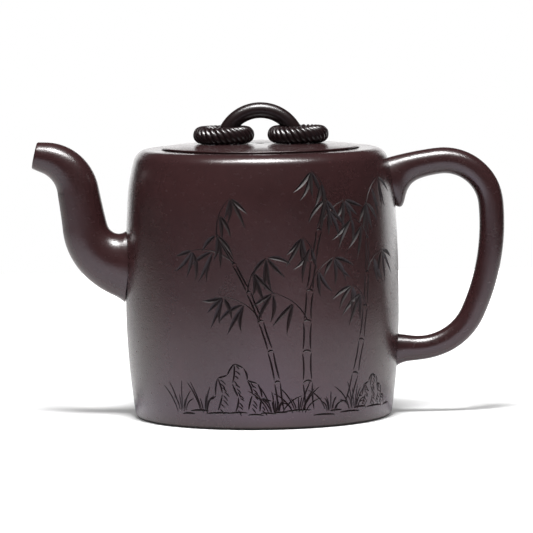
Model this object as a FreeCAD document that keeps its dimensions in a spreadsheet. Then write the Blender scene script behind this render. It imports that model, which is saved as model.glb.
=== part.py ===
"""Slab-built clay teapot with an S-curved spout, an ear handle and an inset lid.

The lid carries a half-round bridge as its handhold, with two rope-twisted rings
threaded loose on the bridge's feet.

Millimetres. +Z is up, the origin is the centre of the base on the table, the spout
points to -X and the handle to +X.
"""

import FreeCAD, Part
import math
import os
import Sketcher
from FreeCAD import Placement, Rotation, Vector

# Driving dimensions, in millimetres, or degrees where the name says so.
DIMENSIONS = {
    # Body: a barrelled wall on a flat base, closed by a flat top slab.
    "body_height": 89.5,
    "belly_radius": 45.65,
    "belly_height": 38.0,
    "lower_wall_arc": 250.0,
    "upper_wall_arc": 640.0,
    "shoulder_start": 72.0,
    "shoulder_arc": 62.0,
    "shoulder_thickness": 3.4,
    "wall_thickness": 3.0,
    "base_thickness": 3.2,
    "foot_round": 1.6,
    "foot_recess_radius": 34.0,
    "foot_recess_depth": 0.7,
    # Mouth and lid: the lid lies in the mouth, on a ledge, and stands a little proud.
    "mouth_radius": 33.0,
    "ledge_inner_radius": 27.5,
    "ledge_outer_radius": 37.0,
    "ledge_thickness": 3.0,
    "lid_gap": 0.3,
    "lid_rise": 0.7,
    "lid_crown": 0.9,
    "lid_flat_radius": 20.0,
    "lid_lip": 0.35,
    "lid_undercut": 0.6,
    "lid_edge_round": 0.3,
    "flange_gap": 0.3,
    "flange_wall": 2.8,
    "flange_depth": 9.0,
    "flange_edge_round": 0.8,
    "vent_radius": 1.2,
    # Knob: a half-round bridge and the two rings on its feet.
    "bridge_radius": 12.75,
    "bridge_tube": 2.65,
    "bridge_sink": 1.65,
    "ring_radius": 7.35,
    "ring_tube": 2.9,
    "ring_play": 0.1,
    "left_ring_offset": -12.2,
    "right_ring_offset": 12.6,
    # Spout: out of the wall, up a short riser, then forward to the lip.
    "spout_root_height": 51.5,
    "spout_root_rise_deg": 8.0,
    "spout_root_run": 1.4,
    "spout_lower_bend": 14.0,
    "spout_riser_lean_deg": 9.55,
    "spout_riser": 13.2,
    "spout_upper_bend": 13.4,
    "spout_tip_rise_deg": 12.6,
    "spout_tip_run": 4.3,
    "spout_half": 6.8,
    "spout_root_flare": 5.4,
    "spout_side_flare": 1.9,
    "spout_flare_length": 9.8,
    "spout_tip_taper": 2.33,
    "spout_taper_start": 30.0,
    "spout_root_wall": 2.6,
    "spout_tip_wall": 1.2,
    "spout_lip_round": 0.5,
    # Strainer: a pierced dome that fills the opening behind the spout.
    "strainer_radius": 6.2,
    "strainer_height": 50.5,
    "strainer_setback": 1.2,
    "strainer_rim": 3.4,
    "strainer_wall": 1.5,
    "strainer_dome": 4.0,
    "strainer_hole": 0.65,
    "strainer_inner_circle": 2.0,
    "strainer_outer_circle": 3.85,
    # Handle: an ear of four arcs with flared roots.
    "handle_root_reach": 44.6,
    "handle_root_height": 81.8,
    "handle_rise_deg": 14.8,
    "handle_top_arc": 108.8,
    "handle_top_turn_deg": 7.8,
    "handle_corner_arc": 15.8,
    "handle_corner_turn_deg": 92.6,
    "handle_back_arc": 73.6,
    "handle_back_turn_deg": 29.1,
    "handle_bottom_arc": 19.95,
    "handle_bottom_turn_deg": 73.7,
    "handle_bottom_run": 4.3,
    "handle_top_half": 4.47,
    "handle_low_half": 3.8,
    "handle_flatness": 0.95,
    "handle_upper_flare": 8.0,
    "handle_upper_flare_length": 2.7,
    "handle_lower_flare": 3.9,
    "handle_lower_flare_length": 3.45,
    "handle_side_flare": 1.0,
}

FULL_TURN = 360
HALF_TURN = 180
# Lengths closer than this count as the same.
SAME = 1e-4
# Spout and handle start this far inside the barrel, and are then cut to the wall.
ROOT_DEPTH = 4.0
# Ovals along the spout, and along the handle between its flared roots.
SPOUT_STEPS = 12
HANDLE_STEPS = 12
# Ovals along a root of the handle, as multiples of the length over which its flare dies away.
FLARE_STEPS = (0, 0.35, 0.8, 1.5, 2.6, 4.4)
# Holes on the strainer's two circles, round the one in the middle.
INNER_CIRCLE_HOLES = 6
OUTER_CIRCLE_HOLES = 12

doc = FreeCAD.newDocument("teapot")


def make_sheet():
    """Write the driving dimensions into a spreadsheet, each cell named by its alias."""
    table = doc.addObject("Spreadsheet::Sheet", "dims")
    for row, (name, number) in enumerate(DIMENSIONS.items(), start=1):
        table.set(f"A{row}", name)
        table.set(f"B{row}", str(number))
        table.setAlias(f"B{row}", name)
    doc.recompute()
    return table


sheet = make_sheet()


def size(name):
    """Number in the sheet's cell of that name."""
    return float(sheet.get(name))


def angle(name):
    """Angle in radians, from the sheet's cell of that name in degrees."""
    return math.radians(size(name + "_deg"))


# Bodies and sketches


def new_body(name):
    """Empty body whose label names the finished piece."""
    body = doc.addObject("PartDesign::Body", name)
    body.Label = name
    return body


def new_sketch(body, name, role, off_plane=None, up_plane=None):
    """Sketch on one of the body's own origin planes.

    Formulas move it off that plane, along the plane's normal, and up the plane, along the sketch's own Y.
    """
    plane = next(f for f in body.Origin.OriginFeatures if f.Role == role)
    sketch = body.newObject("Sketcher::SketchObject", f"{body.Name}_{name}")
    sketch.AttachmentSupport = [(plane, "")]
    sketch.MapMode = "FlatFace"
    if off_plane:
        sketch.setExpression("AttachmentOffset.Base.z", off_plane)
    if up_plane:
        sketch.setExpression("AttachmentOffset.Base.y", up_plane)
    return sketch


def line(sketch, start, end):
    """Straight edge between two points of the sketch; returns its index."""
    return sketch.addGeometry(Part.LineSegment(Vector(*start, 0), Vector(*end, 0)))


def arc(sketch, centre, radius, first, last):
    """Arc of a circle, counter-clockwise between two angles; returns its index."""
    circle = Part.Circle(Vector(*centre, 0), Vector(0, 0, 1), radius)
    return sketch.addGeometry(Part.ArcOfCircle(circle, first, last))


def bind(sketch, kind, formula, *place):
    """Constrain a radius, or a point's distance from the origin, to a formula of the sheet."""
    if kind == "Radius":
        now = sketch.Geometry[place[0]].Radius
    else:
        point = sketch.getPoint(*place)
        now = point.x if kind == "DistanceX" else point.y
    index = sketch.addConstraint(Sketcher.Constraint(kind, *place, now))
    sketch.setExpression(f"Constraints[{index}]", formula)


def join(sketch, *pairs):
    """Make points of the sketch coincide, each pair given as edge, end, edge, end."""
    for pair in pairs:
        sketch.addConstraint(Sketcher.Constraint("Coincident", *pair))


def chain(sketch, corners):
    """Straight edges from corner to corner; returns their indices.

    Each corner is a formula and a number for x, then for y.
    """
    points = [(corner[1], corner[3]) for corner in corners]
    edges = [line(sketch, a, b) for a, b in zip(points, points[1:])]
    for edge, following in zip(edges, edges[1:]):
        join(sketch, (edge, 2, following, 1))
    ends = [(edges[0], 1)] + [(edge, 2) for edge in edges]
    for end, (across, _, up, _) in zip(ends, corners):
        bind(sketch, "DistanceX", across, *end)
        bind(sketch, "DistanceY", up, *end)
    return edges


def circles(sketch, *formulas):
    """Circles about the sketch's origin with the given radii, each a formula and a number."""
    for formula, number in formulas:
        index = sketch.addGeometry(Part.Circle(Vector(), Vector(0, 0, 1), number))
        join(sketch, (index, 3, -1, 1))
        bind(sketch, "Radius", formula, index)


def revolve(body, sketch, axis="V_Axis", turn=FULL_TURN):
    """Turn an outline about one of the sketch's own axes, by default the upright one."""
    feature = body.newObject("PartDesign::Revolution", f"{body.Name}_turned")
    feature.Profile = sketch
    feature.ReferenceAxis = (sketch, [axis])
    feature.Angle = turn
    return feature


def pad(body, sketch, height):
    """Raise a closed outline by a formula."""
    feature = body.newObject("PartDesign::Pad", f"{body.Name}_pad")
    feature.Profile = sketch
    feature.setExpression("Length", height)
    return feature


def pocket_through(body, sketch, name):
    """Cut an outline right through the body, on the far side of its sketch's normal."""
    feature = body.newObject("PartDesign::Pocket", f"{body.Name}_{name}")
    feature.Profile = sketch
    feature.Type = "ThroughAll"
    return feature


def edges_at(feature, height):
    """Names of the level edges at a height."""
    found = []
    for number, edge in enumerate(feature.Shape.Edges, start=1):
        box = edge.BoundBox
        if abs(box.ZMin - height) < SAME and abs(box.ZMax - height) < SAME:
            found.append(f"Edge{number}")
    return found


# Pot


def wall_arcs(sketch, bottom, top, inset=("0", 0.0)):
    """Draw the wall's outer line, or one set in from it, as three tangent arcs.

    The heights it starts and ends at, and the inset, are each a formula and a number. Returns the
    indices of the first and last arc.
    """
    belly = (size("belly_radius") - inset[1], size("belly_height"))
    names = ("lower_wall_arc", "upper_wall_arc", "shoulder_arc")
    lower, upper, shoulder = (size(name) - inset[1] for name in names)
    lower_centre = (belly[0] - lower, belly[1])
    upper_centre = (belly[0] - upper, belly[1])
    lean = math.asin((size("shoulder_start") - belly[1]) / size("upper_wall_arc"))
    reach = upper - shoulder
    shoulder_centre = (upper_centre[0] + reach * math.cos(lean), belly[1] + reach * math.sin(lean))
    start = math.asin((bottom[1] - belly[1]) / lower)
    end = math.asin((top[1] - shoulder_centre[1]) / shoulder)
    low = arc(sketch, lower_centre, lower, start, 0)
    high = arc(sketch, upper_centre, upper, 0, lean)
    turn = arc(sketch, shoulder_centre, shoulder, lean, end)
    bind(sketch, "Radius", f"dims.lower_wall_arc - {inset[0]}", low)
    bind(sketch, "Radius", f"dims.upper_wall_arc - {inset[0]}", high)
    bind(sketch, "Radius", f"dims.shoulder_arc - {inset[0]}", turn)
    bind(sketch, "DistanceY", "dims.belly_height", low, 3)
    bind(sketch, "DistanceY", "dims.belly_height", high, 3)
    bind(sketch, "DistanceX", f"dims.belly_radius - {inset[0]}", low, 2)
    bind(sketch, "DistanceY", "dims.belly_height", low, 2)
    join(sketch, (low, 2, high, 1))
    sketch.addConstraint(Sketcher.Constraint("Tangent", high, 2, turn, 1))
    bind(sketch, "DistanceY", bottom[0], low, 1)
    climb = f"(dims.shoulder_start - dims.belly_height) * (1 - {inset[0]} / dims.upper_wall_arc)"
    bind(sketch, "DistanceY", f"dims.belly_height + {climb}", turn, 1)
    bind(sketch, "DistanceY", top[0], turn, 2)
    return low, turn


def seam():
    """Height at which the top slab lies on the wall, as a formula and a number."""
    return "dims.body_height - dims.shoulder_thickness", size("body_height") - size("shoulder_thickness")


def make_barrel(name):
    """Solid barrel inside the wall's outer line, to which the spout and the handle are cut."""
    body = new_body(name)
    sketch = new_sketch(body, "outline", "XZ_Plane")
    low, turn = wall_arcs(sketch, ("dims.base_thickness", size("base_thickness")), seam())
    foot, brim = sketch.getPoint(low, 1), sketch.getPoint(turn, 2)
    floor = line(sketch, (0, foot.y), (foot.x, foot.y))
    top = line(sketch, (brim.x, brim.y), (0, brim.y))
    axis = line(sketch, (0, brim.y), (0, foot.y))
    join(sketch, (floor, 2, low, 1), (turn, 2, top, 1), (top, 2, axis, 1), (axis, 2, floor, 1))
    for edge in (floor, top):
        sketch.addConstraint(Sketcher.Constraint("Horizontal", edge))
    for end in (1, 2):
        sketch.addConstraint(Sketcher.Constraint("PointOnObject", axis, end, -2))
    revolve(body, sketch)
    return body


def make_body_wall():
    """Wall of the pot: of even thickness, open at both ends, with the spout's opening."""
    body = new_body("body_wall")
    sketch = new_sketch(body, "outline", "XZ_Plane")
    bottom = ("dims.base_thickness", size("base_thickness"))
    outer_low, outer_turn = wall_arcs(sketch, bottom, seam())
    inset = ("dims.wall_thickness", size("wall_thickness"))
    inner_low, inner_turn = wall_arcs(sketch, bottom, seam(), inset)
    for inner, outer, end in ((inner_low, outer_low, 1), (inner_turn, outer_turn, 2)):
        near, far = sketch.getPoint(inner, end), sketch.getPoint(outer, end)
        edge = line(sketch, (near.x, near.y), (far.x, far.y))
        join(sketch, (edge, 1, inner, end), (edge, 2, outer, end))
    revolve(body, sketch)
    opening = new_sketch(body, "spout_opening", "YZ_Plane", up_plane="dims.strainer_height")
    circles(opening, ("dims.strainer_radius", size("strainer_radius")))
    pocket_through(body, opening, "opening")
    return body


def make_base_disc():
    """Bottom slab with a rounded edge and a shallow recess, so that the pot stands on a ring."""
    body = new_body("base_disc")
    sketch = new_sketch(body, "outline", "XZ_Plane")
    belly = (size("belly_radius"), size("belly_height"))
    big, small, top = size("lower_wall_arc"), size("foot_round"), size("base_thickness")
    drop = math.asin((small - belly[1]) / (big - small))
    round_centre = (belly[0] - big + (big - small) * math.cos(drop), small)
    brim = math.asin((top - belly[1]) / big)
    edge = arc(sketch, (belly[0] - big, belly[1]), big, drop, brim)
    foot = arc(sketch, round_centre, small, -math.pi / 2, drop)
    rim = sketch.getPoint(edge, 2)
    floor = line(sketch, (0, 0), (round_centre[0], 0))
    bed = line(sketch, (rim.x, rim.y), (0, rim.y))
    axis = line(sketch, (0, rim.y), (0, 0))
    join(sketch, (edge, 2, bed, 1), (bed, 2, axis, 1), (axis, 2, floor, 1), (floor, 1, -1, 1))
    sketch.addConstraint(Sketcher.Constraint("Tangent", floor, 2, foot, 1))
    sketch.addConstraint(Sketcher.Constraint("Tangent", foot, 2, edge, 1))
    for straight in (floor, bed):
        sketch.addConstraint(Sketcher.Constraint("Horizontal", straight))
    sketch.addConstraint(Sketcher.Constraint("Vertical", axis))
    bind(sketch, "Radius", "dims.lower_wall_arc", edge)
    bind(sketch, "Radius", "dims.foot_round", foot)
    bind(sketch, "DistanceX", "dims.belly_radius - dims.lower_wall_arc", edge, 3)
    bind(sketch, "DistanceY", "dims.belly_height", edge, 3)
    bind(sketch, "DistanceY", "dims.base_thickness", edge, 2)
    revolve(body, sketch)
    recess = new_sketch(body, "recess", "XY_Plane")
    circles(recess, ("dims.foot_recess_radius", size("foot_recess_radius")))
    cut = body.newObject("PartDesign::Pocket", "base_disc_recess")
    cut.Profile = recess
    cut.Reversed = True
    cut.setExpression("Length", "dims.foot_recess_depth")
    return body


def make_shoulder_plate():
    """Top slab: flat, with the mouth cut in it and its edge turned down onto the wall."""
    body = new_body("shoulder_plate")
    sketch = new_sketch(body, "outline", "XZ_Plane")
    low, turn = wall_arcs(sketch, ("dims.base_thickness", size("base_thickness")), seam())
    for index in range(low, turn + 1):
        sketch.setConstruction(index, True)
    brim = sketch.getPoint(turn, 2)
    top = size("body_height")
    lean = math.asin((brim.y - sketch.getPoint(turn, 3).y) / size("shoulder_arc"))
    radius = (top - brim.y) / (1 - math.sin(lean))
    centre = (brim.x - radius * math.cos(lean), top - radius)
    mouth = size("mouth_radius")
    corner = arc(sketch, centre, radius, lean, math.pi / 2)
    plate = line(sketch, (centre[0], top), (mouth, top))
    rim = line(sketch, (mouth, top), (mouth, brim.y))
    under = line(sketch, (mouth, brim.y), (brim.x, brim.y))
    sketch.addConstraint(Sketcher.Constraint("Tangent", turn, 2, corner, 1))
    sketch.addConstraint(Sketcher.Constraint("Tangent", corner, 2, plate, 1))
    join(sketch, (plate, 2, rim, 1), (rim, 2, under, 1), (under, 2, corner, 1))
    for straight in (plate, under):
        sketch.addConstraint(Sketcher.Constraint("Horizontal", straight))
    sketch.addConstraint(Sketcher.Constraint("Vertical", rim))
    bind(sketch, "DistanceX", "dims.mouth_radius", rim, 1)
    bind(sketch, "DistanceY", "dims.body_height", rim, 1)
    revolve(body, sketch)
    return body


def make_lid_seat_ring():
    """Ring under the top slab whose inner part is the ledge that carries the lid."""
    body = new_body("lid_seat_ring")
    height = seam()[0] + " - dims.ledge_thickness"
    sketch = new_sketch(body, "outline", "XY_Plane", height)
    inner = ("dims.ledge_inner_radius", size("ledge_inner_radius"))
    outer = ("dims.ledge_outer_radius", size("ledge_outer_radius"))
    circles(sketch, inner, outer)
    pad(body, sketch, "dims.ledge_thickness")
    return body


# Lid and knob


def lid_brim():
    """Height of the lid's upper edge, as a formula and a number."""
    return "dims.body_height + dims.lid_rise", size("body_height") + size("lid_rise")


def lid_top():
    """Height of the lid's flat middle, as a formula and a number."""
    return lid_brim()[0] + " + dims.lid_crown", lid_brim()[1] + size("lid_crown")


def make_lid_plate():
    """Round lid: a flat middle with a vent hole, falling gently to a thin lip over an undercut edge."""
    body = new_body("lid_plate")
    sketch = new_sketch(body, "outline", "XZ_Plane")
    edge = ("dims.mouth_radius - dims.lid_gap", size("mouth_radius") - size("lid_gap"))
    waist = (edge[0] + " - dims.lid_undercut", edge[1] - size("lid_undercut"))
    lip = (lid_brim()[0] + " - dims.lid_lip", lid_brim()[1] - size("lid_lip"))
    slope = (lip[0] + " - dims.lid_undercut", lip[1] - size("lid_undercut"))
    vent = ("dims.vent_radius", size("vent_radius"))
    flat = ("dims.lid_flat_radius", size("lid_flat_radius"))
    corners = [
        (*flat, *lid_top()),
        (*vent, *lid_top()),
        (*vent, *seam()),
        (*waist, *seam()),
        (*waist, *slope),
        (*edge, *lip),
        (*edge, *lid_brim()),
    ]
    edges = chain(sketch, corners)
    run, fall = edge[1] - flat[1], size("lid_crown")
    radius = (run**2 + fall**2) / (2 * fall)
    crown = arc(sketch, (flat[1], lid_top()[1] - radius), radius, math.acos(run / radius), math.pi / 2)
    join(sketch, (crown, 1, edges[-1], 2))
    sketch.addConstraint(Sketcher.Constraint("Tangent", crown, 2, edges[0], 1))
    turned = revolve(body, sketch)
    doc.recompute()
    soft = body.newObject("PartDesign::Fillet", "lid_plate_soft_edge")
    soft.Base = (turned, edges_at(turned, lid_brim()[1]))
    soft.setExpression("Radius", "dims.lid_edge_round")
    return body


def make_lid_flange():
    """Collar under the lid that enters the mouth and keeps the lid from sliding off."""
    body = new_body("lid_flange")
    height = seam()[0] + " - dims.flange_depth"
    sketch = new_sketch(body, "outline", "XY_Plane", height)
    outer = ("dims.ledge_inner_radius - dims.flange_gap", size("ledge_inner_radius") - size("flange_gap"))
    inner = (outer[0] + " - dims.flange_wall", outer[1] - size("flange_wall"))
    circles(sketch, inner, outer)
    collar = pad(body, sketch, "dims.flange_depth")
    doc.recompute()
    soft = body.newObject("PartDesign::Fillet", "lid_flange_soft_edge")
    soft.Base = (collar, edges_at(collar, seam()[1] - size("flange_depth")))
    soft.setExpression("Radius", "dims.flange_edge_round")
    return body


def make_knob_bridge():
    """Half-round bridge from one foot to the other, cut off flat where it stands on the lid."""
    body = new_body("knob_bridge")
    sketch = new_sketch(body, "tube", "XY_Plane", lid_top()[0] + " - dims.bridge_sink")
    circle = Part.Circle(Vector(size("bridge_radius"), 0, 0), Vector(0, 0, 1), size("bridge_tube"))
    tube = sketch.addGeometry(circle)
    sketch.addConstraint(Sketcher.Constraint("PointOnObject", tube, 3, -1))
    bind(sketch, "DistanceX", "dims.bridge_radius", tube, 3)
    bind(sketch, "Radius", "dims.bridge_tube", tube)
    arch = revolve(body, sketch, turn=HALF_TURN)
    arch.Reversed = True
    trim = new_sketch(body, "lid_plane", "XY_Plane", lid_top()[0])
    circles(trim, ("2 * dims.bridge_radius", 2 * size("bridge_radius")))
    pocket_through(body, trim, "trim")
    return body


def make_rope_ring(name, offset):
    """Ring that lies on the lid round one foot of the bridge, as large as the crests of its twist."""
    ring = doc.addObject("Part::Torus", name)
    ring.Label = name
    ring.setExpression("Radius1", "dims.ring_radius")
    ring.setExpression("Radius2", "dims.ring_tube")
    ring.setExpression("Placement.Base.x", f"dims.{offset}")
    ring.setExpression("Placement.Base.z", lid_top()[0] + " + dims.ring_tube + dims.ring_play")
    return ring


# Spout, strainer and handle


class Spine:
    """Flat path of straight runs and arcs in the X-Z plane.

    Each run is its length and its turn in radians, anticlockwise seen with X to the right and Z up.
    """

    def __init__(self, start, heading, runs):
        self.start = start
        self.heading = heading
        self.runs = runs
        self.length = sum(length for length, _ in runs)

    def at(self, distance):
        """Point and heading at a distance along the path; past either end it goes straight on."""
        x, z = self.start
        heading = self.heading
        before = min(distance, 0)
        beyond = max(distance - self.length, 0)
        left = min(max(distance, 0), self.length)
        x += before * math.cos(heading)
        z += before * math.sin(heading)
        for length, turn in self.runs:
            step = min(left, length)
            half = turn * step / length / 2
            chord = step * math.sin(half) / half if half else step
            x += chord * math.cos(heading + half)
            z += chord * math.sin(heading + half)
            heading += 2 * half
            left -= step
        x += beyond * math.cos(heading)
        z += beyond * math.sin(heading)
        return x, z, heading


def bend(radius, turn):
    """Run of a spine that turns with a radius; the turn is in radians."""
    return radius * abs(turn), turn


def section(name, spine, distance, tall, wide, shift=0.0):
    """Oval across a spine, with formulas for its half height and half width, moved sideways by a shift."""
    x, z, heading = spine.at(distance)
    along = Vector(math.cos(heading), 0, math.sin(heading))
    across = Vector(-math.sin(heading), 0, math.cos(heading))
    oval = doc.addObject("Part::Ellipse", name)
    oval.setExpression("MajorRadius", tall)
    oval.setExpression("MinorRadius", wide)
    turned = Rotation(across, Vector(), along, "ZXY")
    oval.Placement = Placement(Vector(x, 0, z) + across * shift, turned)
    return oval


def loft(name, sections):
    """Smooth solid through a row of ovals."""
    solid = doc.addObject("Part::Loft", name)
    solid.Sections = sections
    solid.Solid = True
    return solid


def cut(name, base, tool):
    """Solid left when a tool is taken away from a base."""
    result = doc.addObject("Part::Cut", name)
    result.Label = name
    result.Base = base
    result.Tool = tool
    return result


def spout_spine():
    """Middle line of the spout, from the wall to the lip."""
    start = (-size("belly_radius"), size("spout_root_height"))
    root = math.pi - angle("spout_root_rise")
    riser = math.pi / 2 + angle("spout_riser_lean")
    tip = math.pi - angle("spout_tip_rise")
    runs = [
        (size("spout_root_run"), 0.0),
        bend(size("spout_lower_bend"), riser - root),
        (size("spout_riser"), 0.0),
        bend(size("spout_upper_bend"), tip - riser),
        (size("spout_tip_run"), 0.0),
    ]
    return Spine(start, root, runs)


def make_spout(barrel):
    """Hollow spout: flared at the root, tapered to the lip, cut to lie on the wall."""
    spine = spout_spine()
    run_out = spine.length - size("spout_taper_start")
    outside, inside = [], []
    distances = [-ROOT_DEPTH] + [spine.length * step / SPOUT_STEPS for step in range(SPOUT_STEPS + 1)]
    for number, distance in enumerate(distances):
        flare = math.exp(-distance / size("spout_flare_length"))
        taper = (max(distance - size("spout_taper_start"), 0) / run_out) ** 2
        share = max(distance, 0) / spine.length
        slim = f"dims.spout_half - {taper:.5f} * dims.spout_tip_taper"
        tall = f"{slim} + {flare:.5f} * dims.spout_root_flare"
        wide = f"{slim} + {flare:.5f} * dims.spout_side_flare"
        wall = f"({1 - share:.5f} * dims.spout_root_wall + {share:.5f} * dims.spout_tip_wall)"
        outside.append(section(f"spout_outside_{number}", spine, distance, tall, wide))
        bore = (f"{tall} - {wall}", f"{wide} - {wall}")
        inside.append(section(f"spout_inside_{number}", spine, distance, *bore))
    tube = cut("spout_tube", loft("spout_outer", outside), loft("spout_bore", inside))
    trimmed = cut("spout_trimmed", tube, barrel)
    doc.recompute()
    x, z, _ = spine.at(spine.length)
    mouth = Vector(x, 0, z)
    lip = [
        (number, size("spout_lip_round"), size("spout_lip_round"))
        for number, edge in enumerate(trimmed.Shape.Edges, start=1)
        if edge.CenterOfMass.distanceToPoint(mouth) < size("spout_lip_round")
    ]
    spout = doc.addObject("Part::Fillet", "spout")
    spout.Label = "spout"
    spout.Base = trimmed
    spout.Edges = lip
    return spout


def pierce(body, circle, count):
    """Cut holes through the strainer, evenly spaced on a circle named by its radius in the sheet."""
    sketch = new_sketch(body, circle, "YZ_Plane", up_plane="dims.strainer_height")
    place = Vector(0, size(circle), 0)
    hole = sketch.addGeometry(Part.Circle(place, Vector(0, 0, 1), size("strainer_hole")))
    sketch.addConstraint(Sketcher.Constraint("PointOnObject", hole, 3, -2))
    bind(sketch, "DistanceY", f"dims.{circle}", hole, 3)
    bind(sketch, "Radius", "dims.strainer_hole", hole)
    first = pocket_through(body, sketch, f"{circle}_first")
    pattern = body.newObject("PartDesign::PolarPattern", f"{body.Name}_{circle}_all")
    pattern.Originals = [first]
    pattern.Axis = (sketch, ["N_Axis"])
    pattern.Angle = FULL_TURN
    pattern.Occurrences = count
    body.Tip = pattern


def make_spout_strainer():
    """Dome with rings of small holes, its rim filling the wall's opening behind the spout."""
    body = new_body("spout_strainer")
    sketch = new_sketch(body, "outline", "XZ_Plane", up_plane="dims.strainer_height")
    outer, wall, dome = size("strainer_radius"), size("strainer_wall"), size("strainer_dome")
    inner = outer - wall
    front = size("strainer_setback") - size("belly_radius")
    back = front + size("strainer_rim")
    ball = (outer**2 + dome**2) / (2 * dome)
    centre = back + dome - ball
    reach = math.sqrt((ball - wall) ** 2 - inner**2)
    face = line(sketch, (front, inner), (front, outer))
    rim = line(sketch, (front, outer), (back, outer))
    crown = arc(sketch, (centre, 0), ball, 0, math.atan2(outer, back - centre))
    tip = line(sketch, (centre + ball, 0), (centre + ball - wall, 0))
    hollow = arc(sketch, (centre, 0), ball - wall, 0, math.atan2(inner, reach))
    bore = line(sketch, (centre + reach, inner), (front, inner))
    join(sketch, (face, 2, rim, 1), (rim, 2, crown, 2), (crown, 1, tip, 1))
    join(sketch, (tip, 2, hollow, 1), (hollow, 2, bore, 1), (bore, 2, face, 1), (crown, 3, hollow, 3))
    sketch.addConstraint(Sketcher.Constraint("Vertical", face))
    for straight in (rim, bore):
        sketch.addConstraint(Sketcher.Constraint("Horizontal", straight))
    for edge, end in ((tip, 1), (tip, 2), (crown, 3)):
        sketch.addConstraint(Sketcher.Constraint("PointOnObject", edge, end, -1))
    front_formula = "dims.strainer_setback - dims.belly_radius"
    back_formula = f"{front_formula} + dims.strainer_rim"
    bind(sketch, "DistanceX", front_formula, rim, 1)
    bind(sketch, "DistanceX", back_formula, rim, 2)
    bind(sketch, "DistanceY", "dims.strainer_radius", rim, 1)
    bind(sketch, "DistanceY", "dims.strainer_radius - dims.strainer_wall", bore, 1)
    bind(sketch, "DistanceX", f"{back_formula} + dims.strainer_dome", tip, 1)
    bind(sketch, "DistanceX", f"{back_formula} + dims.strainer_dome - dims.strainer_wall", tip, 2)
    revolve(body, sketch, axis="H_Axis")
    middle = new_sketch(body, "middle_hole", "YZ_Plane", up_plane="dims.strainer_height")
    circles(middle, ("dims.strainer_hole", size("strainer_hole")))
    pocket_through(body, middle, "middle")
    pierce(body, "strainer_inner_circle", INNER_CIRCLE_HOLES)
    pierce(body, "strainer_outer_circle", OUTER_CIRCLE_HOLES)
    return body


def handle_spine():
    """Middle line of the handle, from its upper root to its lower root."""
    start = (size("handle_root_reach"), size("handle_root_height"))
    runs = [
        bend(size(f"handle_{name}_arc"), -angle(f"handle_{name}_turn"))
        for name in ("top", "corner", "back", "bottom")
    ]
    return Spine(start, angle("handle_rise"), runs + [(size("handle_bottom_run"), 0.0)])


def make_handle(barrel):
    """Solid ear handle: a long tapering coil whose roots flare where they meet the wall."""
    spine = handle_spine()
    upper_length, lower_length = size("handle_upper_flare_length"), size("handle_lower_flare_length")
    first = FLARE_STEPS[-1] * upper_length
    last = spine.length - FLARE_STEPS[-1] * lower_length
    distances = [-ROOT_DEPTH] + [step * upper_length for step in FLARE_STEPS]
    distances += [first + (last - first) * step / HANDLE_STEPS for step in range(1, HANDLE_STEPS)]
    distances += [spine.length - step * lower_length for step in reversed(FLARE_STEPS)]
    distances.append(spine.length + ROOT_DEPTH)
    ovals = []
    for number, distance in enumerate(distances):
        inside = min(max(distance, 0), spine.length)
        share = inside / spine.length
        upper = math.exp(-inside / upper_length)
        lower = math.exp((inside - spine.length) / lower_length)
        coil = f"({1 - share:.5f} * dims.handle_top_half + {share:.5f} * dims.handle_low_half)"
        flare = f"{upper / 2:.5f} * dims.handle_upper_flare + {lower / 2:.5f} * dims.handle_lower_flare"
        tall = f"{coil} + {flare}"
        wide = f"{coil} * dims.handle_flatness + {upper + lower:.5f} * dims.handle_side_flare"
        shift = (lower * size("handle_lower_flare") - upper * size("handle_upper_flare")) / 2
        ovals.append(section(f"handle_section_{number}", spine, distance, tall, wide, shift))
    return cut("handle", loft("handle_coil", ovals), barrel)


barrel = make_barrel("pot_form")
pieces = [
    make_base_disc(),
    make_body_wall(),
    make_shoulder_plate(),
    make_lid_seat_ring(),
    make_spout(barrel),
    make_spout_strainer(),
    make_handle(barrel),
    make_lid_plate(),
    make_lid_flange(),
    make_knob_bridge(),
    make_rope_ring("left_rope_ring", "left_ring_offset"),
    make_rope_ring("right_rope_ring", "right_ring_offset"),
]
doc.recompute()

for item in doc.Objects:
    if "Invalid" in item.State or "Error" in item.State:
        raise RuntimeError(f"{item.Name} failed: {item.State}")
for piece in pieces:
    if piece.Shape.isNull() or not piece.Shape.isValid():
        raise RuntimeError(f"{piece.Label} has no valid shape")

os.makedirs("parts", exist_ok=True)
for piece in pieces:
    piece.Shape.exportStep(f"parts/{piece.Label}.step")
    box = piece.Shape.optimalBoundingBox(False)
    low = (round(box.XMin, 2), round(box.YMin, 2), round(box.ZMin, 2))
    high = (round(box.XMax, 2), round(box.YMax, 2), round(box.ZMax, 2))
    solids = len(piece.Shape.Solids)
    print(f"{piece.Label}: {solids} solid, {piece.Shape.Volume:.0f} mm3, from {low} to {high}")
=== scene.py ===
"""Purple clay teapot with a bridge knob and rope rings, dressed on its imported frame.

Each piece is modelled in millimetres, in the frame's own axes: +Z up along the pot's axis,
-X towards the spout and -Y towards the viewer. It is brought to metres when it is done.
"""

import logging
import math
import random
from collections.abc import Callable, Iterable
from dataclasses import dataclass, field
from enum import Enum

import bpy
from mathutils import Matrix, Vector


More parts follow.
